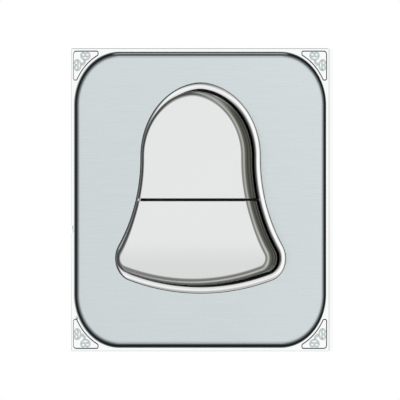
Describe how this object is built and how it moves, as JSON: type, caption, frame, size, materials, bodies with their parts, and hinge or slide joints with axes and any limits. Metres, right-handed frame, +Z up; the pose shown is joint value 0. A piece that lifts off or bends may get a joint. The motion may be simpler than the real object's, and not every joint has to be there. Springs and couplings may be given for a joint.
{
  "type": "doorbell push button",
  "caption": "Square wall plate with a coved chrome frame, scrolled corner insets, a brushed panel and a raised bell-shaped push split by a level seam.",
  "frame": {"origin": "middle of the plate on the wall plane, midway between the two fixing slots", "axes": "+X to the right and +Z up as seen by a visitor, +Y into the wall; the front faces -Y"},
  "size_m": [0.086, 0.034, 0.086],
  "materials": {
    "frame_chrome": "polished",
    "ornament_chrome": "polished",
    "bezel_chrome": "polished",
    "panel_metal": "brushed, fine horizontal grain",
    "key_metal": "satin face, polished sides",
    "carrier_nylon": "matt",
    "yoke_steel": "zinc plated",
    "housing_plastic": "matt",
    "screw_steel": "zinc plated",
    "spring_steel": "bright",
    "pin_steel": "bright",
    "contact_brass": "bright",
    "terminal_brass": "bright",
    "plunger_plastic": "smooth"
  },
  "bodies": {
    "wall_unit": {"chrome_frame": "frame_chrome", "brushed_panel": "panel_metal", "bell_bezel": "bezel_chrome", "key_carrier": "carrier_nylon", "mounting_yoke": "yoke_steel", "back_housing": "housing_plastic", "housing_screws": "screw_steel", "clamp_screws": "screw_steel", "corner_ornament_top_left": "ornament_chrome", "corner_ornament_top_right": "ornament_chrome", "corner_ornament_bottom_left": "ornament_chrome", "corner_ornament_bottom_right": "ornament_chrome", "upper_hinge_pin": "pin_steel", "upper_return_spring": "spring_steel", "upper_left_contact": "contact_brass", "upper_left_terminal": "terminal_brass", "upper_right_contact": "contact_brass", "upper_right_terminal": "terminal_brass", "lower_hinge_pin": "pin_steel", "lower_return_spring": "spring_steel", "lower_left_contact": "contact_brass", "lower_left_terminal": "terminal_brass", "lower_right_contact": "contact_brass", "lower_right_terminal": "terminal_brass"},
    "upper_key_body": {"upper_key": "key_metal"},
    "upper_plunger_body": {"upper_plunger": "plunger_plastic", "upper_bridge_contact": "contact_brass"},
    "lower_key_body": {"lower_key": "key_metal"},
    "lower_plunger_body": {"lower_plunger": "plunger_plastic", "lower_bridge_contact": "contact_brass"}
  },
  "joints": [
    {"name": "upper_key_press", "type": "hinge", "parent": "wall_unit", "child": "upper_key_body", "pos_m": [0, -0.0084, 0.022], "axis": [1, 0, 0], "range_deg": [0, 3.64], "stiffness_Nm_per_rad": 0.3, "springref_deg": -9.74},
    {"name": "upper_plunger_slide", "type": "slide", "parent": "wall_unit", "child": "upper_plunger_body", "axis": [0, 1, 0], "range_m": [0, 0.00096], "deforming": ["upper_return_spring"]},
    {"name": "lower_key_press", "type": "hinge", "parent": "wall_unit", "child": "lower_key_body", "pos_m": [0, -0.0084, -0.0175], "axis": [-1, 0, 0], "range_deg": [0, 4.58], "stiffness_Nm_per_rad": 0.3, "springref_deg": -9.74},
    {"name": "lower_plunger_slide", "type": "slide", "parent": "wall_unit", "child": "lower_plunger_body", "axis": [0, 1, 0], "range_m": [0, 0.00084], "deforming": ["lower_return_spring"]}
  ],
  "couplings": [
    {"joint": "upper_plunger_slide", "follows": "upper_key_press", "m_per_rad": 0.015},
    {"joint": "lower_plunger_slide", "follows": "lower_key_press", "m_per_rad": 0.0105}
  ]
}
